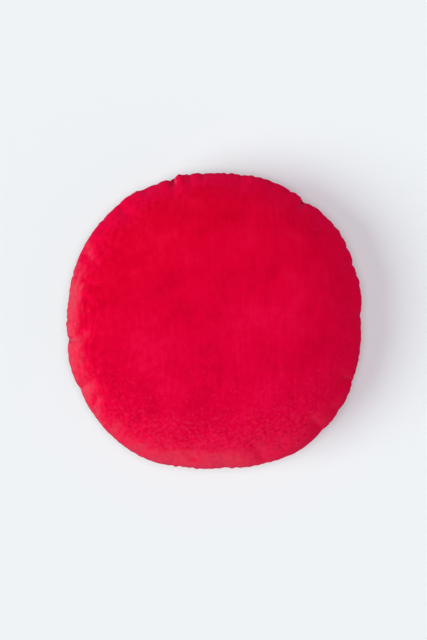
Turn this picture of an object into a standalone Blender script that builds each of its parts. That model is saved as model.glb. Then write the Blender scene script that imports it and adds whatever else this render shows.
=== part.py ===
"""Round velvet cushion, lying on its back.

Two round panels are sewn edge to edge and filled, which makes one closed solid: a crowned front, a
back that is flat where it rests, and sides that draw in to the sewn edge, where the cloth gathers.
Metres, +Z up. The origin is on the floor, under the middle of the cushion.
"""

import math

import bmesh
import bpy
from mathutils import Vector

# Driving sizes
SEAM_RADIUS = 0.190
SEAM_HEIGHT = 0.054
CROWN_RISE = 0.062
BACK_SAG = 0.005

# Section from the middle to the seam: rise = (1 - reach ** SHOULDER) ** EDGE_TURN
SHOULDER = 2.9
EDGE_TURN = 0.55

# The stitching draws the seam itself in by this much
SEAM_DRAW = 0.0014

# The woven cloth gives most across its bias, so the rim bulges four times: waves round the rim,
# height and the angle of one peak in degrees
RIM_WAVES = (
    (2, 0.0005, 62.0),
    (3, 0.0005, 82.0),
    (4, 0.0032, 45.0),
    (5, 0.0008, 24.0),
)

# Gathers of the sewn edge, anticlockwise from +X: angle in degrees, how far the seam stands in (-)
# or out (+) there, and how far the cloth arches out between this gather and the next
GATHERS = (
    (2.0, -0.0019, 0.0028),
    (22.0, -0.0020, 0.0002),
    (29.0, 0.0000, 0.0017),
    (44.0, -0.0004, 0.0020),
    (53.0, -0.0042, 0.0016),
    (60.0, -0.0009, 0.0012),
    (67.0, 0.0003, 0.0018),
    (79.0, -0.0011, 0.0011),
    (94.0, -0.0008, 0.0007),
    (100.0, -0.0006, 0.0026),
    (107.0, -0.0020, 0.0010),
    (113.0, -0.0010, 0.0002),
    (118.0, -0.0005, 0.0017),
    (129.0, -0.0003, 0.0003),
    (137.0, -0.0002, 0.0006),
    (152.0, 0.0000, 0.0004),
    (173.0, -0.0007, 0.0011),
    (187.0, -0.0020, 0.0041),
    (207.0, -0.0016, 0.0006),
    (217.0, -0.0014, 0.0001),
    (229.0, -0.0008, 0.0003),
    (240.0, 0.0012, 0.0012),
    (254.0, -0.0004, 0.0002),
    (260.0, -0.0008, 0.0008),
    (274.0, -0.0018, 0.0012),
    (290.0, -0.0002, 0.0003),
    (298.0, 0.0014, 0.0016),
    (315.0, -0.0028, 0.0016),
    (324.0, -0.0011, 0.0014),
    (336.0, -0.0007, 0.0021),
)
GATHER_START = 0.70
GATHER_FADE = 1.6

# Lumps of the filling under the front: x, y, half width and height
FILLING_LUMPS = (
    (-0.060, -0.010, 0.075, 0.0016),
    (0.055, 0.060, 0.070, -0.0014),
    (0.050, -0.075, 0.060, 0.0012),
    (-0.020, 0.100, 0.055, 0.0008),
)

# Mesh steps: segments round the rim, rings from the middle to the seam as shares of its radius, and
# on the back the rings as shares of the way from the flat patch to the seam
SEGMENTS = 180
FRONT_RINGS = (0.15, 0.30, 0.44, 0.57, 0.69, 0.78, 0.85, 0.91, 0.955, 0.985, 0.9965, 1.0)
RINGS_PAST_REST = (0.14, 0.29, 0.44, 0.58, 0.70, 0.81, 0.905, 0.967, 0.9925, 1.0)

VELVET_RED = (0.62, 0.004, 0.036, 1.0)
VELVET_ROUGHNESS = 0.85


def section(reach):
    """Rise of the panel at a share of the way from its middle to the seam, from 1 down to 0."""
    return (1.0 - reach**SHOULDER) ** EDGE_TURN


def rest_reach():
    """Share of the seam radius inside which the back lies flat on the floor."""
    share = SEAM_HEIGHT / (SEAM_HEIGHT + BACK_SAG)
    return (1.0 - share ** (1.0 / EDGE_TURN)) ** (1.0 / SHOULDER)


def rim_wave(degrees):
    """Slow waves of the rim, outwards."""
    return sum(h * math.cos(math.radians(n * (degrees - peak))) for n, h, peak in RIM_WAVES)


def gather(degrees):
    """Offset of the gathered edge, outwards: straight between neighbours, plus the arch of the cloth."""
    for (start, notch, arch), following in zip(GATHERS, GATHERS[1:] + GATHERS[:1]):
        span = (following[0] - start) % 360.0
        along = (degrees - start) % 360.0
        if along < span:
            share = along / span
            return notch + (following[1] - notch) * share + arch * 4.0 * share * (1.0 - share)
    return GATHERS[0][1]


def gather_share(reach):
    """How much of a gather shows at a share of the way from the middle to the seam."""
    return max(0.0, (reach - GATHER_START) / (1.0 - GATHER_START)) ** GATHER_FADE


def outward(reach, rise):
    """Unit normal of the section, as (outwards, away from the seam's plane)."""
    if reach >= 1.0:
        return 1.0, 0.0
    slope = rise * EDGE_TURN * SHOULDER * reach ** (SHOULDER - 1.0)
    slope *= (1.0 - reach**SHOULDER) ** (EDGE_TURN - 1.0)
    length = math.hypot(slope, SEAM_RADIUS)
    return slope / length, SEAM_RADIUS / length


def lumps(x, y):
    """Rise of the front over the lumps of the filling."""
    return sum(h * math.exp(-((x - cx) ** 2 + (y - cy) ** 2) / w**2) for cx, cy, w, h in FILLING_LUMPS)


def cushion_point(degrees, reach, front):
    """Point of the cover at an angle and a share of the way from the middle to the seam."""
    rise = CROWN_RISE if front else SEAM_HEIGHT + BACK_SAG
    pull = gather(degrees) * gather_share(reach) - (SEAM_DRAW if reach == 1.0 else 0.0)
    out, away = outward(reach, rise)
    radius = (SEAM_RADIUS + rim_wave(degrees)) * reach + pull * out
    x = radius * math.cos(math.radians(degrees))
    y = radius * math.sin(math.radians(degrees))
    height = rise * section(reach) + pull * away
    if front:
        return Vector((x, y, SEAM_HEIGHT + height + lumps(x, y) * section(reach)))
    return Vector((x, y, max(0.0, SEAM_HEIGHT - height)))


def centre_over_origin(bm):
    """Slide the mesh level until the middle of its box is over the origin."""
    xs = [vert.co.x for vert in bm.verts]
    ys = [vert.co.y for vert in bm.verts]
    middle = Vector(((min(xs) + max(xs)) / 2, (min(ys) + max(ys)) / 2, 0.0))
    bmesh.ops.translate(bm, verts=bm.verts, vec=-middle)


def velvet():
    """Plain red velvet."""
    material = bpy.data.materials.new("velvet")
    material.use_nodes = True
    shader = material.node_tree.nodes["Principled BSDF"]
    shader.inputs["Base Color"].default_value = VELVET_RED
    shader.inputs["Roughness"].default_value = VELVET_ROUGHNESS
    shader.inputs["Metallic"].default_value = 0.0
    shader.inputs["Sheen Weight"].default_value = 0.6
    material.diffuse_color = VELVET_RED
    return material


def cushion_mesh():
    """A sphere's rings, moved onto the front panel, the seam and the back panel."""
    flat = rest_reach()
    back_rings = (flat / 2, flat) + tuple(flat + (1.0 - flat) * share for share in RINGS_PAST_REST)
    rings = len(FRONT_RINGS)
    bm = bmesh.new()
    bmesh.ops.create_uvsphere(bm, u_segments=SEGMENTS, v_segments=2 * rings, radius=1.0)
    for vert in bm.verts:
        from_top = math.acos(max(-1.0, min(1.0, vert.co.z)))
        step = round(from_top / math.pi * 2 * rings)
        front = step <= rings
        count = step if front else 2 * rings - step
        table = FRONT_RINGS if front else back_rings
        reach = table[count - 1] if count else 0.0
        degrees = math.degrees(math.atan2(vert.co.y, vert.co.x)) if count else 0.0
        vert.co = cushion_point(degrees, reach, front)
    centre_over_origin(bm)
    mesh = bpy.data.meshes.new("cushion")
    bm.to_mesh(mesh)
    bm.free()
    mesh.shade_smooth()
    return mesh


def main():
    for old in list(bpy.data.objects):
        bpy.data.objects.remove(old)
    collection = bpy.data.collections.new("round_cushion")
    bpy.context.scene.collection.children.link(collection)
    cushion = bpy.data.objects.new("cushion", cushion_mesh())
    cushion.data.materials.append(velvet())
    collection.objects.link(cushion)


main()
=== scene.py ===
"""A round velvet cushion, filled and lying on its back, photographed from straight above.

Two flat rounds of cloth are sewn edge to edge and blown up by their filling. The seam is held to the
outline of the cushion, and the cloth between is simulated, so that it gathers along the seam by itself.
Creases, scallops and puckers of the sewn edge are then added to the finer mesh.
"""

import math

import bpy
import numpy as np
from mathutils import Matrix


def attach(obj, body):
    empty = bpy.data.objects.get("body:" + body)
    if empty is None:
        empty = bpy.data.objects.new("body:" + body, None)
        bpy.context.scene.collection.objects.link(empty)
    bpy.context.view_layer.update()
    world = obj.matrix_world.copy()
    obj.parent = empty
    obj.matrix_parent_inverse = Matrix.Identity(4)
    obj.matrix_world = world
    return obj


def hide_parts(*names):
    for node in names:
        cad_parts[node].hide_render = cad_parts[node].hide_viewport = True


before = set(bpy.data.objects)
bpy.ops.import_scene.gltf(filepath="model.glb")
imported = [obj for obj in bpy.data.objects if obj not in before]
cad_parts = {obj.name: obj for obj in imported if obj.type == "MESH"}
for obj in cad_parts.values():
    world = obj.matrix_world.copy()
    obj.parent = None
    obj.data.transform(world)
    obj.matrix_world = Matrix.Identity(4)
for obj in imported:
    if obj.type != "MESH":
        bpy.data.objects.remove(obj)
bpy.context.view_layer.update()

# Sizes of the cushion, in metres: the seam's radius and height, the front's rise over it, how far the
# back would sag past the floor, the radius of a flat panel, and how far the stitching draws the seam in
SEAM_RADIUS = 0.190
SEAM_HEIGHT = 0.054
CROWN_RISE = 0.062
BACK_SAG = 0.005
PANEL_RADIUS = 0.2085
SEAM_DRAW = 0.0014

# Section of a panel: the powers that round its shoulder and turn its edge
SHOULDER = 2.9
EDGE_TURN = 0.55

# Slow waves of the rim, because the weave gives most across its bias: waves round the rim, height and
# the angle of one peak in degrees
RIM_WAVES = (
    (2, 0.0005, 62.0),
    (3, 0.0005, 82.0),
    (4, 0.0032, 45.0),
    (5, 0.0008, 24.0),
)

# Gathers of the sewn edge, anticlockwise from +X: angle in degrees, how far the seam stands in (-) or
# out (+) there, and how far the cloth arches out between this gather and the next
GATHERS = np.array((
    (2.0, -0.0019, 0.0028),
    (22.0, -0.0020, 0.0002),
    (29.0, 0.0000, 0.0017),
    (44.0, -0.0004, 0.0020),
    (53.0, -0.0042, 0.0016),
    (60.0, -0.0009, 0.0012),
    (67.0, 0.0003, 0.0018),
    (79.0, -0.0011, 0.0011),
    (94.0, -0.0008, 0.0007),
    (100.0, -0.0006, 0.0026),
    (107.0, -0.0020, 0.0010),
    (113.0, -0.0010, 0.0002),
    (118.0, -0.0005, 0.0017),
    (129.0, -0.0003, 0.0003),
    (137.0, -0.0002, 0.0006),
    (152.0, 0.0000, 0.0004),
    (173.0, -0.0007, 0.0011),
    (187.0, -0.0020, 0.0041),
    (207.0, -0.0016, 0.0006),
    (217.0, -0.0014, 0.0001),
    (229.0, -0.0008, 0.0003),
    (240.0, 0.0012, 0.0012),
    (254.0, -0.0004, 0.0002),
    (260.0, -0.0008, 0.0008),
    (274.0, -0.0018, 0.0012),
    (290.0, -0.0002, 0.0003),
    (298.0, 0.0014, 0.0016),
    (315.0, -0.0028, 0.0016),
    (324.0, -0.0011, 0.0014),
    (336.0, -0.0007, 0.0021),
))

# Gathers start at this share of the way from the middle to the seam, and grow with this power
GATHER_START = 0.86
GATHER_FADE = 1.4

# Lumps of the filling under the front: x, y, half width and height
FILLING_LUMPS = (
    (-0.060, -0.010, 0.075, 0.0016),
    (0.055, 0.060, 0.070, -0.0014),
    (0.050, -0.075, 0.060, 0.0012),
    (-0.020, 0.100, 0.055, 0.0008),
    (-0.095, 0.080, 0.045, -0.0010),
    (-0.070, -0.110, 0.040, 0.0009),
    (0.115, -0.020, 0.040, 0.0009),
)

# Creases of the front near the rim: angle in degrees, share of the seam's radius at the middle, turn
# of its length away from straight outwards in degrees, half length, half width, and height (+) or
# depth (-)
CREASES = (
    (106.5, 0.975, 0.0, 0.0090, 0.0030, -0.0042),
    (103.2, 0.962, 5.0, 0.0080, 0.0032, 0.0016),
    (98.0, 0.960, 10.0, 0.0070, 0.0040, 0.0008),
    (93.2, 0.900, -12.0, 0.0090, 0.0021, 0.0009),
    (85.0, 0.830, 70.0, 0.0100, 0.0030, -0.0004),
    (53.0, 0.980, 10.0, 0.0080, 0.0033, -0.0054),
    (22.0, 0.970, 0.0, 0.0060, 0.0030, -0.0010),
    (2.0, 0.950, 20.0, 0.0080, 0.0030, -0.0010),
    (336.5, 0.965, 15.0, 0.0080, 0.0032, -0.0024),
    (332.0, 0.965, 80.0, 0.0080, 0.0035, 0.0012),
    (315.0, 0.955, 0.0, 0.0070, 0.0035, -0.0011),
    (298.0, 0.940, -20.0, 0.0070, 0.0040, -0.0006),
    (289.0, 0.925, -40.0, 0.0080, 0.0045, -0.0008),
    (279.6, 0.910, -60.0, 0.0090, 0.0045, -0.0007),
    (271.0, 0.930, 30.0, 0.0060, 0.0040, -0.0005),
    (262.0, 0.905, 55.0, 0.0090, 0.0045, -0.0008),
    (250.0, 0.885, 60.0, 0.0080, 0.0045, -0.0007),
    (241.5, 0.955, 30.0, 0.0070, 0.0035, -0.0013),
    (228.0, 0.940, 10.0, 0.0060, 0.0035, -0.0008),
    (214.0, 0.930, 40.0, 0.0080, 0.0040, -0.0010),
    (206.5, 0.955, 20.0, 0.0080, 0.0038, -0.0011),
    (187.5, 0.970, 0.0, 0.0080, 0.0032, -0.0023),
    (179.0, 0.960, 60.0, 0.0060, 0.0035, -0.0010),
    (169.0, 0.958, 75.0, 0.0070, 0.0028, -0.0013),
    (161.6, 0.945, 80.0, 0.0080, 0.0028, -0.0012),
    (150.0, 0.960, 70.0, 0.0060, 0.0028, -0.0007),
    (129.0, 0.955, 20.0, 0.0070, 0.0035, -0.0008),
    (118.0, 0.960, 10.0, 0.0060, 0.0030, -0.0009),
)

# Creases start within this height of the seam, and the cloth is pressed flat within this height of the
# floor
CREASE_FADE = 0.004
FLOOR_FADE = 0.004

# Small scallops that the stitches draw between the gathers: their usual width in degrees, lowest and
# highest in metres, how far above and below the seam they reach, the share of a width by which one may
# start early or late, and how rare the high ones are
SCALLOP_WIDTH = 5.2
SCALLOP_HEIGHT = (0.0002, 0.0024)
SCALLOP_REACH = 0.022
SCALLOP_SHIFT = 0.34
SCALLOP_RARITY = 1.5
ARCH_MEAN = 2.0 / 3.0

# Round the rim the scallops are this high on average, more or less by this much, highest at this angle
SCALLOP_MEAN, SCALLOP_SWING, SCALLOP_PEAK = 0.58, 0.42, 50.0

# Small puckers on both sides of the seam: fewest and most round the rim, height, how fast they fade,
# the height past the seam over which they start, how many sines make them, and how strong they are on
# average, more or less by this much, in this many stretches round the rim
PUCKER_COUNTS = (48, 150)
PUCKER_HEIGHT = 0.0005
PUCKER_REACH = 0.011
PUCKER_START = 0.002
PUCKER_SINES = 14
PUCKER_MEAN, PUCKER_SWING = 0.55, 0.45
PUCKER_STRETCHES = (7.0, 11.0)

# Unevenness of the cloth all over: wavelength and height of each layer, sines in a layer, how far their
# own wavelengths spread, and the level that their sum seldom passes
CLOTH_LAYERS = ((0.055, 0.00035), (0.022, 0.00016), (0.010, 0.00007))
WAVE_SINES = 24
WAVE_SPREAD = (0.7, 1.4)
WAVE_PEAK = 1.6

# Seed of the random draws
SEED = 7

# Steps along the section when its length is measured
SECTION_STEPS = 400

# Cloth grid: points along one side of a panel
PANEL_POINTS = 110

# Simulation of the filled cover: frames, pressure, the longest move that is kept, the shares of the way
# out between which its folds come in, the share of them kept inside, and how sharp the seam stays
FILL_FRAMES = 24
FILL_PRESSURE = 6.0
MOST_MOVE = 0.012
FOLDS_FROM, FOLDS_TO = 0.66, 0.92
FOLDS_INSIDE = 0.25
SEAM_CREASE = 0.8


def section(reach):
    """Rise of a panel at a share of the way from its middle to the seam: one less the share to the power
    of the shoulder, all to the power of the edge's turn."""
    return (1.0 - np.clip(reach, 0.0, 1.0) ** SHOULDER) ** EDGE_TURN


def reach_at(share, rise):
    """Share of the seam's radius that lies under a share of the cloth's own length, which is the sum of
    the steps along the section."""
    level = np.linspace(0.0, 1.0, SECTION_STEPS)
    steep = (1.0 - level ** (1.0 / EDGE_TURN)) ** (1.0 / SHOULDER)
    reach = np.unique(np.concatenate([level, steep]))
    steps = np.hypot(np.diff(reach) * SEAM_RADIUS, np.diff(section(reach)) * rise)
    length = np.concatenate([[0.0], np.cumsum(steps)])
    return np.interp(share, length / length[-1], reach)


def rim_wave(degrees):
    """Sum of the slow waves: each is its height times the cosine of its count times the angle past its
    peak."""
    return sum(height * np.cos(np.radians(count * (degrees - peak))) for count, height, peak in RIM_WAVES)


def gather(degrees):
    """Offset of the gathered edge: straight between neighbours, plus a parabola that is the cloth's
    arch between them."""
    starts = GATHERS[:, 0]
    here = np.searchsorted(starts, degrees % 360.0, side="right") - 1
    after = (here + 1) % len(starts)
    span = (starts[after] - starts[here]) % 360.0
    share = ((degrees - starts[here]) % 360.0) / span
    notch = GATHERS[here, 1] + (GATHERS[after, 1] - GATHERS[here, 1]) * share
    return notch + GATHERS[here, 2] * 4.0 * share * (1.0 - share)


def lumps(x, y):
    """Rise over the lumps of the filling: each is its height times a bell curve of the distance from its
    middle over its half width."""
    return sum(h * np.exp(-((x - cx) ** 2 + (y - cy) ** 2) / w**2) for cx, cy, w, h in FILLING_LUMPS)


def disc_grid(count):
    """Angle in degrees and share of the way out, on a square grid pressed into a disc: the share is how
    far u or v is from the middle, whichever is farther, and the angle runs evenly along each side of
    the square."""
    line = np.linspace(-1.0, 1.0, count)
    u, v = np.meshgrid(line, line, indexing="ij")
    across = np.abs(u) >= np.abs(v)
    longer = np.where(across, u, v)
    safe = np.where(longer == 0.0, 1.0, longer)
    turn = np.where(across, 45.0 * v / safe, 90.0 - 45.0 * u / safe)
    degrees = np.where(longer < 0.0, turn + 180.0, turn) % 360.0
    return degrees.ravel(), np.abs(longer).ravel()


def cover_points(degrees, share, front):
    """Points of one panel when filled: the section turned round the middle, with the waves of the rim
    and each gather fading inwards, at right angles to the section."""
    rise = CROWN_RISE if front else SEAM_HEIGHT + BACK_SAG
    reach = reach_at(share, rise)
    fade = np.clip((reach - GATHER_START) / (1.0 - GATHER_START), 0.0, 1.0) ** GATHER_FADE
    pull = gather(degrees) * fade - np.where(reach >= 1.0, SEAM_DRAW, 0.0)
    inner = np.clip(reach, 1e-6, 1.0 - 1e-9)
    slope = rise * EDGE_TURN * SHOULDER * inner ** (SHOULDER - 1.0)
    slope = slope * (1.0 - inner**SHOULDER) ** (EDGE_TURN - 1.0)
    slant = np.hypot(slope, SEAM_RADIUS)
    radius = (SEAM_RADIUS + rim_wave(degrees)) * reach + pull * slope / slant
    height = rise * section(reach) + pull * SEAM_RADIUS / slant
    angle = np.radians(degrees)
    x, y = radius * np.cos(angle), radius * np.sin(angle)
    z = SEAM_HEIGHT + height + lumps(x, y) * section(reach) if front else SEAM_HEIGHT - height
    return np.stack([x, y, z], axis=1)


def panel_faces(count):
    """Quads of a square grid, counter-clockwise seen from above."""
    index = np.arange(count * count).reshape(count, count)
    quads = np.stack([index[:-1, :-1], index[1:, :-1], index[1:, 1:], index[:-1, 1:]], axis=-1)
    return quads.reshape(-1, 4)


def sewn_cover(count):
    """Filled points, flat points, share of the way out, faces and the seam's point numbers of both
    panels, with the back panel's rim points replaced by the front's."""
    degrees, share = disc_grid(count)
    rim = share >= 1.0 - 1e-9
    inside = np.flatnonzero(~rim)
    back_number = np.arange(count * count)
    back_number[inside] = count * count + np.arange(len(inside))
    front_points = cover_points(degrees, share, True)
    back_points = cover_points(degrees, share, False)[inside]
    filled = np.concatenate([front_points, back_points])
    angle = np.radians(degrees)
    around = np.stack([np.cos(angle), np.sin(angle), 0.0 * angle], axis=1)
    flat_front = around * share[:, None] * PANEL_RADIUS
    flat = np.concatenate([flat_front, flat_front[inside]])
    front = panel_faces(count)
    back = back_number[front[:, ::-1]]
    shares = np.concatenate([share, share[inside]])
    return filled, flat, shares, np.concatenate([front, back]), np.flatnonzero(rim)


def new_piece(name, points, faces):
    """Object at the origin with these points and faces."""
    mesh = bpy.data.meshes.new(name)
    mesh.from_pydata(points.tolist(), [], faces.tolist())
    mesh.update()
    piece = bpy.data.objects.new(name, mesh)
    bpy.context.scene.collection.objects.link(piece)
    return piece


def point_array(mesh):
    """Points of a mesh as rows of x, y, z."""
    flat = np.empty(len(mesh.vertices) * 3, np.float32)
    mesh.vertices.foreach_get("co", flat)
    return flat.reshape(-1, 3).astype(np.float64)


def fill_cover(piece, flat, seam):
    """Blow the cover up with its seam held, and return its points. The cloth's own lengths are those of
    the flat panels, so what it has to spare at the rim folds."""
    piece.shape_key_add(name="filled")
    cut = piece.shape_key_add(name="flat")
    cut.data.foreach_set("co", flat.astype(np.float32).ravel())
    cut.value = 0.0
    held = piece.vertex_groups.new(name="seam")
    held.add(seam.tolist(), 1.0, "REPLACE")
    cloth = piece.modifiers.new("filling", "CLOTH")
    settings = cloth.settings
    settings.quality = 6
    settings.mass = 0.3
    settings.air_damping = 2.0
    settings.tension_stiffness = 40.0
    settings.compression_stiffness = 20.0
    settings.shear_stiffness = 8.0
    settings.bending_stiffness = 2.0
    settings.rest_shape_key = cut
    settings.vertex_group_mass = "seam"
    settings.use_pressure = True
    settings.uniform_pressure_force = FILL_PRESSURE
    settings.effector_weights.gravity = 0.0
    cloth.collision_settings.use_collision = False
    cloth.point_cache.frame_start = 1
    cloth.point_cache.frame_end = FILL_FRAMES
    scene = bpy.context.scene
    for frame_number in range(1, FILL_FRAMES + 1):
        scene.frame_set(frame_number)
    graph = bpy.context.evaluated_depsgraph_get()
    blown = point_array(piece.evaluated_get(graph).data)
    piece.modifiers.remove(cloth)
    piece.shape_key_clear()
    piece.vertex_groups.clear()
    scene.frame_set(1)
    return blown


def held_back(start, end, most):
    """Moves from start to end, eased so that none is longer than most: each step is scaled by most over
    the sum of most and its own length."""
    step = end - start
    length = np.linalg.norm(step, axis=1, keepdims=True)
    return start + step * most / (most + length)


def sew(mesh, seam):
    """Keep the seam sharp when the mesh is made finer, and mark it for the material's painted seam shade.
    """
    on_seam = np.zeros(len(mesh.vertices), bool)
    on_seam[seam] = True
    mark = mesh.attributes.new("stitched", "FLOAT", "POINT")
    mark.data.foreach_set("value", on_seam.astype(np.float32))
    ends = np.empty(len(mesh.edges) * 2, np.int32)
    mesh.edges.foreach_get("vertices", ends)
    sharp = on_seam[ends.reshape(-1, 2)].all(axis=1) * SEAM_CREASE
    crease = mesh.attributes.new("crease_edge", "FLOAT", "EDGE")
    crease.data.foreach_set("value", sharp.astype(np.float32))


def ease(value, low, high):
    """Rises from 0 at low to 1 at high: three times the square of the share of the way, less twice its
    cube."""
    t = np.clip((value - low) / (high - low), 0.0, 1.0)
    return t * t * (3.0 - 2.0 * t)


def waves(points, wavelength, chance):
    """Smooth unevenness between about -1 and 1: a sum of sines that run in random directions."""
    ways = chance.normal(size=(WAVE_SINES, 3))
    turns = (2.0 * np.pi / wavelength) * chance.uniform(*WAVE_SPREAD, (WAVE_SINES, 1))
    ways *= turns / np.linalg.norm(ways, axis=1)[:, None]
    starts = chance.uniform(0.0, 2.0 * np.pi, WAVE_SINES)
    return np.sin(points @ ways.T + starts).sum(axis=1) * math.sqrt(2.0 / WAVE_SINES) / WAVE_PEAK


def creases(points):
    """Height of the front's creases: each is its height times a bell curve along it and one across it,
    in its own turned axes."""
    total = np.zeros(len(points))
    for degrees, share, turn, length, width, height in CREASES:
        way = np.radians(degrees)
        out = np.radians(degrees + turn)
        at = share * SEAM_RADIUS
        x = points[:, 0] - at * np.cos(way)
        y = points[:, 1] - at * np.sin(way)
        along = x * np.cos(out) + y * np.sin(out)
        across = y * np.cos(out) - x * np.sin(out)
        total += height * np.exp(-((along / length) ** 2) - (across / width) ** 2)
    return total * ease(points[:, 2], SEAM_HEIGHT - CREASE_FADE, SEAM_HEIGHT + CREASE_FADE)


def scallop_starts(chance):
    """Angles in degrees where the scallops start: each stretch between two gathers is divided evenly,
    and all starts but its first are shifted at random. The first angle comes once more at the end."""
    whole = np.append(GATHERS[:, 0], GATHERS[0, 0] + 360.0)
    spans = np.diff(whole)
    counts = np.maximum(np.round(spans / SCALLOP_WIDTH), 1).astype(int)
    starts = []
    for start, span, count in zip(whole, spans, counts):
        shift = np.append(0.0, chance.uniform(-SCALLOP_SHIFT, SCALLOP_SHIFT, count - 1))
        starts.append(start + span * (np.arange(count) + shift) / count)
    return np.append(np.concatenate(starts), whole[-1])


def scallops(points, chance):
    """Offset of the small scallops: arches of random heights, each a parabola between its ends less its
    own mean, highest at the upper right and nearly gone at the lower left."""
    starts = scallop_starts(chance)
    lowest, highest = SCALLOP_HEIGHT
    heights = chance.uniform(0.0, 1.0, len(starts) - 1) ** SCALLOP_RARITY
    heights = lowest + (highest - lowest) * heights
    heights *= SCALLOP_MEAN + SCALLOP_SWING * np.cos(np.radians(starts[:-1] - SCALLOP_PEAK))
    degrees = np.degrees(np.arctan2(points[:, 1], points[:, 0]))
    degrees = (degrees - starts[0]) % 360.0 + starts[0]
    here = np.clip(np.searchsorted(starts, degrees, side="right") - 1, 0, len(heights) - 1)
    share = (degrees - starts[here]) / (starts[here + 1] - starts[here])
    away = np.abs(points[:, 2] - SEAM_HEIGHT) / SCALLOP_REACH
    arch = 4.0 * share * (1.0 - share) - ARCH_MEAN
    return heights[here] * arch * np.clip(1.0 - away, 0.0, 1.0)


def puckers(points, chance):
    """Small folds that run straight out of the seam: a sum of sines of the angle, which falls by the
    same share with each step of height above or below the seam."""
    angle = np.arctan2(points[:, 1], points[:, 0])
    first, second = PUCKER_STRETCHES
    total = np.zeros(len(points))
    for side in (1.0, -1.0):
        counts = chance.integers(*PUCKER_COUNTS, PUCKER_SINES)
        starts = chance.uniform(0.0, 2.0 * np.pi, PUCKER_SINES)
        swing = np.sin(angle[:, None] * counts + starts).sum(axis=1) * math.sqrt(2.0 / PUCKER_SINES)
        stretch = np.sin(first * angle + starts[0]) * np.sin(second * angle + starts[1])
        swing = swing * (PUCKER_MEAN + PUCKER_SWING * stretch)
        total += np.where(side * (points[:, 2] - SEAM_HEIGHT) >= 0.0, swing, 0.0)
    away = np.abs(points[:, 2] - SEAM_HEIGHT)
    return PUCKER_HEIGHT * total * np.exp(-away / PUCKER_REACH) * ease(away, 0.0, PUCKER_START)


def made_finer(piece):
    """Smooth the piece to half its step, with the seam kept sharp."""
    finer = piece.modifiers.new("finer", "SUBSURF")
    finer.levels = 1
    finer.render_levels = 1
    graph = bpy.context.evaluated_depsgraph_get()
    coarse = piece.data
    piece.data = bpy.data.meshes.new_from_object(piece.evaluated_get(graph))
    piece.modifiers.clear()
    bpy.data.meshes.remove(coarse)
    piece.data.name = piece.name


def uneven(mesh):
    """Lift every point along its normal by the creases, the scallops, the puckers and the cloth's
    unevenness, and keep what lies on the floor flat."""
    chance = np.random.default_rng(SEED)
    points = point_array(mesh)
    normals = np.empty(len(points) * 3, np.float32)
    mesh.vertices.foreach_get("normal", normals)
    lift = creases(points) + scallops(points, chance) + puckers(points, chance)
    for wavelength, height in CLOTH_LAYERS:
        lift += height * waves(points, wavelength, chance)
    lift *= ease(points[:, 2], 0.0, FLOOR_FADE)
    points += normals.reshape(-1, 3) * lift[:, None]
    points[:, 2] = np.maximum(points[:, 2], 0.0)
    mesh.vertices.foreach_set("co", points.astype(np.float32).ravel())
    mesh.update()


def velvet_cover():
    """The whole cover: filled by simulation, made finer and creased."""
    filled, flat, share, faces, seam = sewn_cover(PANEL_POINTS)
    piece = new_piece("velvet_cover", filled, faces)
    points = filled
    blown = held_back(filled, fill_cover(piece, flat, seam), MOST_MOVE)
    folds = FOLDS_INSIDE + (1.0 - FOLDS_INSIDE) * ease(share, FOLDS_FROM, FOLDS_TO)
    points = filled + (blown - filled) * folds[:, None]
    points[:, 2] = np.maximum(points[:, 2], 0.0)
    points[:, :2] -= (points[:, :2].min(axis=0) + points[:, :2].max(axis=0)) / 2
    piece.data.vertices.foreach_set("co", points.astype(np.float32).ravel())
    piece.data.update()
    sew(piece.data, seam)
    made_finer(piece)
    uneven(piece.data)
    piece.data.shade_smooth()
    piece.data.materials.append(velvet())
    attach(piece, "root")
    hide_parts("cushion")
    return piece


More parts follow.
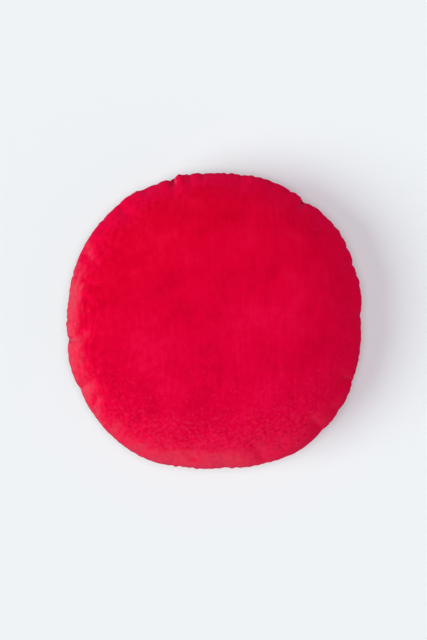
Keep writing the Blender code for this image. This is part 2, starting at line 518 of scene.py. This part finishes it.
class Recipe:
    """Node tree of a material, with short calls for the nodes that the materials here use."""

    def __init__(self, name):
        self.material = bpy.data.materials.new(name)
        self.material.use_nodes = True
        self.tree = self.material.node_tree
        self.shader = self.tree.nodes["Principled BSDF"]
        self.place = self.tree.nodes.new("ShaderNodeTexCoord")

    def put(self, socket, value):
        """Link a socket to another one, or set it to a plain value."""
        if isinstance(value, bpy.types.NodeSocket):
            self.tree.links.new(value, socket)
        else:
            socket.default_value = value

    def maths(self, operation, *values):
        """One operation on sockets or numbers."""
        node = self.tree.nodes.new("ShaderNodeMath")
        node.operation = operation
        for socket, value in zip(node.inputs, values):
            self.put(socket, value)
        return node.outputs[0]

    def along(self, vector, x_share, y_share):
        """How far a vector goes in a direction: its x and its y, each times its share."""
        y_part = self.maths("MULTIPLY", vector["Y"], y_share)
        return self.maths("MULTIPLY_ADD", vector["X"], x_share, y_part)

    def noise(self, size, detail, stretch=(1.0, 1.0, 1.0)):
        """Cloudy pattern between 0 and 1 whose patches are about size metres across."""
        mapping = self.tree.nodes.new("ShaderNodeMapping")
        mapping.inputs["Scale"].default_value = stretch
        self.tree.links.new(self.place.outputs["Object"], mapping.inputs["Vector"])
        node = self.tree.nodes.new("ShaderNodeTexNoise")
        node.inputs["Scale"].default_value = 1.0 / size
        node.inputs["Detail"].default_value = detail
        self.tree.links.new(mapping.outputs["Vector"], node.inputs["Vector"])
        return node.outputs["Fac"]

    def ramp(self, value, low, high, start=0.0, end=1.0):
        """Smooth step of a value from start at low to end at high."""
        node = self.tree.nodes.new("ShaderNodeMapRange")
        node.interpolation_type = "SMOOTHSTEP"
        for socket, item in zip(node.inputs, (value, low, high, start, end)):
            self.put(socket, item)
        return node.outputs[0]

    def blend(self, share, first, second, kind="MIX"):
        """Colour that goes from the first to the second with the share."""
        node = self.tree.nodes.new("ShaderNodeMix")
        node.data_type = "RGBA"
        node.blend_type = kind
        self.put(node.inputs["Factor"], share)
        self.put(node.inputs[6], first)
        self.put(node.inputs[7], second)
        return node.outputs[2]

    def parts(self, vector):
        """The x, y and z of a vector."""
        node = self.tree.nodes.new("ShaderNodeSeparateXYZ")
        self.tree.links.new(vector, node.inputs[0])
        return node.outputs

    def bump(self, height, distance):
        """Tilt the surface's shading by a height between 0 and 1 that stands for a distance in metres."""
        node = self.tree.nodes.new("ShaderNodeBump")
        self.put(node.inputs["Height"], height)
        node.inputs["Distance"].default_value = distance
        self.tree.links.new(node.outputs["Normal"], self.shader.inputs["Normal"])


# Colours of the pile: upright, laid flat away from the light, laid towards it, a painted sheen where
# the cover turns down, a painted pink sheen at the rim, pale specks of painted sheen, and painted shade
# in the stitched line
PILE_RED = (0.740, 0.0005, 0.0345, 1.0)
PILE_DARK = (0.650, 0.0002, 0.0275, 1.0)
PILE_BRIGHT = (0.810, 0.0026, 0.0490, 1.0)
PILE_PAINTED_RIM_SHEEN = (1.000, 0.0014, 0.0560, 1.0)
PILE_PAINTED_PINK_SHEEN = (0.970, 0.0800, 0.1350, 1.0)
PILE_SHEEN_SPECKS = (0.870, 0.0215, 0.0770, 1.0)
SEAM_PAINTED_SHADE = (0.300, 0.0010, 0.0160, 1.0)

# The pile leans to the foot and a little to the right: how much of x and of y leads there. The red is
# cooler there, and goes from the warmer to the cooler over this many metres
FOOTWARDS = (0.89, -1.68)
COOLING_SPAN = 0.6
WARMER = (1.0, 1.0, 0.70, 1.0)
COOLER = (1.0, 1.0, 1.30, 1.0)

# Threads of the weave in one metre as radians, how far they drift, and from where to where they show:
# towards the foot in metres, and by how threadbare the pile is
WEAVE = 2.0 * math.pi / 0.0025
WEAVE_DRIFT = 14.0
FOOT_FROM_TO = (-0.05, 0.20)
THREADBARE_FROM_TO = (0.38, 0.62)

# The velvet's patterns: size in metres, how many finer layers lie over it, and how much it is squeezed
# along x, y and z
PATCHES = (0.045, 3.0)
MOTTLES = (0.0075, 4.0, (1.25, 0.85, 1.0))
RIBS = (0.010, 2.0, (2.6, 0.25, 0.6))
GRAIN = (0.0016, 2.0)
DRIFTS = (0.03, 2.0)
THREADBARE = (0.04, 2.0)
PAINTED_SHEEN_SPOTS = (0.0070, 3.5, (1.3, 0.9, 1.0))
SHEEN_SPECK_SPOTS = (0.0042, 2.0)

# Mottles are strongest at the lower left: how much of x and of y leads there, from where to where in
# metres they grow, and from what share to what share
LOWER_LEFT = (-0.7, -0.7)
RUFFLED_FROM_TO = (-0.12, 0.06, 0.3, 1.0)

# How much each pattern adds to the lean of the pile, and what keeps its mean in place
PATCH_SHARE = 0.62
MOTTLE_SHARE = 0.38
RIB_SHARE = 0.18
GRAIN_SHARE = 0.04
THREAD_SHARE = 0.020
LEAN_SHIFT = -0.11

# From where to where each colour comes in: by the lean of the pile, by how level the cloth lies for the
# painted rim sheen, by the painted pink sheen and the specks of painted sheen, and by the stitched mark
# for the painted seam shade; the last two also give the least and the most
DARK_TO_RED = (0.34, 0.50)
RED_TO_BRIGHT = (0.49, 0.68)
LEVEL_TO_RIM_SHEEN = (0.93, 0.58)
PAINTED_SHEEN_FROM_TO = (0.49, 0.88)
SHEEN_SPECKS_FROM_TO = (0.38, 0.70, 0.0, 0.65)
SEAM_SHADE_FROM_TO = (0.25, 0.95, 0.0, 0.8)

# How much painted pink sheen the cloth gets, by the way that it faces: what the left lacks, the foot's
# share, the share added where both meet, the share of the spots, and what is taken off to the right and
# to the top, from where to where in metres and from how little to how much
LEFT_LACKS = 0.08
FOOT_SHARE = 0.95
CORNER_SHARE = 0.12
PAINTED_SHEEN_SPOT_SHARE = 0.30
RIGHT_LACKS = (0.02, 0.12, 0.0, 0.4)
TOP_LACKS = (0.03, 0.12, 0.0, 0.1)

# How much a mottle takes off the level of the cloth, which breaks up the painted rim sheen, and how many
# pale specks of painted sheen there are by the way that the cloth faces and in spots
MOTTLE_LEVEL = -0.55
SHEEN_SPECKS_FACING = -0.45
SHEEN_SPECK_SHARE = 0.6

# Bump of the pile: its height, and the share of each pattern in it
BUMP_HEIGHT = 0.0008
MOTTLE_BUMP, GRAIN_BUMP, THREAD_BUMP, RIB_BUMP = 0.7, 0.25, 0.04, 0.25


def mottles(recipe, spot):
    """Mottles of the pile, between 0 and 1: strong at the lower left, faint at the upper right."""
    ruffled = recipe.ramp(recipe.along(spot, *LOWER_LEFT), *RUFFLED_FROM_TO)
    mottle = recipe.maths("SUBTRACT", recipe.noise(*MOTTLES), 0.5)
    return recipe.maths("MULTIPLY_ADD", mottle, ruffled, 0.5)


def weave(recipe, spot, towards_foot):
    """Threads of the weave: sines of x and of y that drift, shown in patches towards the foot."""
    maths, noise, ramp = recipe.maths, recipe.noise, recipe.ramp
    drift = maths("MULTIPLY", noise(*DRIFTS), WEAVE_DRIFT)
    threads = maths("SINE", maths("MULTIPLY_ADD", spot["X"], WEAVE, drift))
    threads = maths("ADD", threads, maths("SINE", maths("MULTIPLY_ADD", spot["Y"], WEAVE, drift)))
    worn = ramp(noise(*THREADBARE), *THREADBARE_FROM_TO)
    shown = maths("MULTIPLY", ramp(towards_foot, *FOOT_FROM_TO), worn)
    return maths("MULTIPLY", threads, shown)


def painted_sheen_share(recipe, spot, facing):
    """How much painted pink sheen the pile gets, in spots: most where the cover turns down to the left or
    to the foot, as a painted sheen of the light from there, and hardly at the right or towards the upper
    edge."""
    maths, ramp = recipe.maths, recipe.ramp
    leftwards = maths("SUBTRACT", maths("MULTIPLY", facing["X"], -1.0), LEFT_LACKS)
    footwards = maths("MULTIPLY", facing["Y"], -FOOT_SHARE)
    lower = maths("MAXIMUM", maths("MINIMUM", leftwards, footwards), 0.0)
    pink_sheen = maths("MULTIPLY_ADD", lower, CORNER_SHARE, maths("MAXIMUM", leftwards, footwards))
    patchy = maths("SUBTRACT", recipe.noise(*PAINTED_SHEEN_SPOTS), 0.5)
    pink_sheen = maths("MULTIPLY_ADD", patchy, PAINTED_SHEEN_SPOT_SHARE, pink_sheen)
    pink_sheen = maths("SUBTRACT", pink_sheen, ramp(spot["X"], *RIGHT_LACKS))
    pink_sheen = maths("SUBTRACT", pink_sheen, ramp(spot["Y"], *TOP_LACKS))
    return ramp(pink_sheen, *PAINTED_SHEEN_FROM_TO)


def velvet():
    """Crimson velvet: soft patches where the pile leans this way or that, faint ribs down the cloth and
    a fine weave, a painted sheen where it turns down at the rim, a painted pink sheen at the left and at
    the foot, pale specks of painted sheen, and painted shade in the stitched seam."""
    recipe = Recipe("crimson velvet")
    maths, noise, ramp, blend = recipe.maths, recipe.noise, recipe.ramp, recipe.blend
    spot = recipe.parts(recipe.place.outputs["Object"])
    facing = recipe.parts(recipe.place.outputs["Normal"])
    towards_foot = recipe.along(spot, *FOOTWARDS)

    patches = noise(*PATCHES)
    mottle = mottles(recipe, spot)
    ribs = noise(*RIBS)
    grain = noise(*GRAIN)
    threads = weave(recipe, spot, towards_foot)

    lean = maths("MULTIPLY_ADD", mottle, MOTTLE_SHARE, LEAN_SHIFT)
    lean = maths("MULTIPLY_ADD", patches, PATCH_SHARE, lean)
    lean = maths("MULTIPLY_ADD", ribs, RIB_SHARE, lean)
    lean = maths("MULTIPLY_ADD", grain, GRAIN_SHARE, lean)
    lean = maths("MULTIPLY_ADD", threads, THREAD_SHARE, lean)
    colour = blend(ramp(lean, *DARK_TO_RED), PILE_DARK, PILE_RED)
    colour = blend(ramp(lean, *RED_TO_BRIGHT), colour, PILE_BRIGHT)
    cooler = maths("MULTIPLY_ADD", towards_foot, 1.0 / COOLING_SPAN, 0.5)
    colour = blend(1.0, colour, blend(cooler, WARMER, COOLER), "MULTIPLY")

    level = maths("MULTIPLY_ADD", maths("SUBTRACT", mottle, 0.5), MOTTLE_LEVEL, facing["Z"])
    # Painted sheen: paler red where the cover turns down at the rim
    colour = blend(ramp(level, *LEVEL_TO_RIM_SHEEN), colour, PILE_PAINTED_RIM_SHEEN)
    # Painted pink sheen where the cover turns down at the left and at the foot
    colour = blend(painted_sheen_share(recipe, spot, facing), colour, PILE_PAINTED_PINK_SHEEN)
    # Pale pink specks of painted sheen, more where the cloth faces the foot
    specks = maths("MULTIPLY", noise(*SHEEN_SPECK_SPOTS), SHEEN_SPECK_SHARE)
    specks = maths("MULTIPLY_ADD", facing["Y"], SHEEN_SPECKS_FACING, specks)
    colour = blend(ramp(specks, *SHEEN_SPECKS_FROM_TO), colour, PILE_SHEEN_SPECKS)
    # Painted shade of the seam's groove along the stitched line
    stitched = recipe.tree.nodes.new("ShaderNodeAttribute")
    stitched.attribute_name = "stitched"
    colour = blend(ramp(stitched.outputs["Fac"], *SEAM_SHADE_FROM_TO), colour, SEAM_PAINTED_SHADE)

    height = maths("MULTIPLY_ADD", mottle, MOTTLE_BUMP, maths("MULTIPLY", grain, GRAIN_BUMP))
    height = maths("MULTIPLY_ADD", threads, THREAD_BUMP, height)
    recipe.bump(maths("MULTIPLY_ADD", ribs, RIB_BUMP, height), BUMP_HEIGHT)
    shader = recipe.shader
    recipe.put(shader.inputs["Base Color"], colour)
    shader.inputs["Roughness"].default_value = 0.95
    shader.inputs["Specular IOR Level"].default_value = 0.0
    shader.inputs["Sheen Weight"].default_value = 0.6
    shader.inputs["Sheen Roughness"].default_value = 0.42
    shader.inputs["Sheen Tint"].default_value = (1.0, 0.05, 0.22, 1.0)
    return recipe.material


# Floor and surroundings: half the floor's width, its colour, and the glow of the surroundings, which
# is weak and shows paler than it lights
FLOOR_HALF = 30.0
FLOOR_PALE = (0.88, 0.915, 0.94, 1.0)
GLOW = (0.97, 0.985, 1.0, 1.0)
GLOW_STRENGTH = 0.07
BACKDROP = (0.863, 0.896, 0.922, 1.0)

# Lamps: name, azimuth, elevation and spread in degrees, strength, colour and bounces
LAMPS = (
    ("overhead", 180.0, 90.0, 30.0, 0.66, (1.028, 1.001, 1.042), 4),
    ("overhead without bounces", 180.0, 90.0, 30.0, 1.06, (1.028, 1.001, 1.042), 0),
    ("window", 195.0, 40.0, 40.0, 1.68, (0.930, 1.030, 0.960), 0),
    ("reflector", 325.0, 28.0, 40.0, 0.19, (1.0, 0.30, 0.40), 0),
)

# Camera: place and focal length in millimetres
CAMERA_AT = (-0.0007, 0.0011, 1.953)
FOCAL_LENGTH = 85.0


def floor():
    """Plain pale floor, far wider than the picture."""
    half = FLOOR_HALF
    corners = [(-half, -half, 0), (half, -half, 0), (half, half, 0), (-half, half, 0)]
    mesh = bpy.data.meshes.new("floor")
    mesh.from_pydata(corners, [], [(0, 1, 2, 3)])
    piece = bpy.data.objects.new("floor", mesh)
    bpy.context.scene.collection.objects.link(piece)
    material = bpy.data.materials.new("pale floor")
    material.use_nodes = True
    shader = material.node_tree.nodes["Principled BSDF"]
    shader.inputs["Base Color"].default_value = FLOOR_PALE
    shader.inputs["Roughness"].default_value = 0.9
    shader.inputs["Specular IOR Level"].default_value = 0.1
    mesh.materials.append(material)


def soft_sun(name, azimuth, elevation, spread, strength, colour, bounces):
    """Broad even light from that angle in the photograph, anticlockwise from +X. Without bounces it
    throws no red from the cushion onto the floor."""
    lamp = bpy.data.lights.new(name, "SUN")
    lamp.angle = math.radians(spread)
    lamp.energy = strength
    lamp.color = colour
    lamp.cycles.max_bounces = bounces
    holder = bpy.data.objects.new(name, lamp)
    holder.rotation_euler = (math.radians(90.0 - elevation), 0.0, math.radians(azimuth + 90.0))
    bpy.context.scene.collection.objects.link(holder)


def studio():
    """Pale surroundings that give little light themselves and show only beyond the floor, and lamps."""
    world = bpy.data.worlds.new("studio")
    world.use_nodes = True
    tree = world.node_tree
    glow = tree.nodes["Background"]
    glow.inputs["Color"].default_value = GLOW
    glow.inputs["Strength"].default_value = GLOW_STRENGTH
    shown = tree.nodes.new("ShaderNodeBackground")
    shown.inputs["Color"].default_value = BACKDROP
    path = tree.nodes.new("ShaderNodeLightPath")
    either = tree.nodes.new("ShaderNodeMixShader")
    tree.links.new(path.outputs["Is Camera Ray"], either.inputs[0])
    tree.links.new(glow.outputs[0], either.inputs[1])
    tree.links.new(shown.outputs[0], either.inputs[2])
    tree.links.new(either.outputs[0], tree.nodes["World Output"].inputs["Surface"])
    bpy.context.scene.world = world
    for lamp in LAMPS:
        soft_sun(*lamp)


def camera():
    """Camera straight above, with the photograph's upper edge towards +Y."""
    lens = bpy.data.cameras.new("camera")
    lens.lens = FOCAL_LENGTH
    lens.sensor_width = 36.0
    holder = bpy.data.objects.new("camera", lens)
    holder.location = CAMERA_AT
    bpy.context.scene.collection.objects.link(holder)
    bpy.context.scene.camera = holder


camera()
studio()
floor()
velvet_cover()
bpy.context.scene.view_settings.view_transform = "Standard"
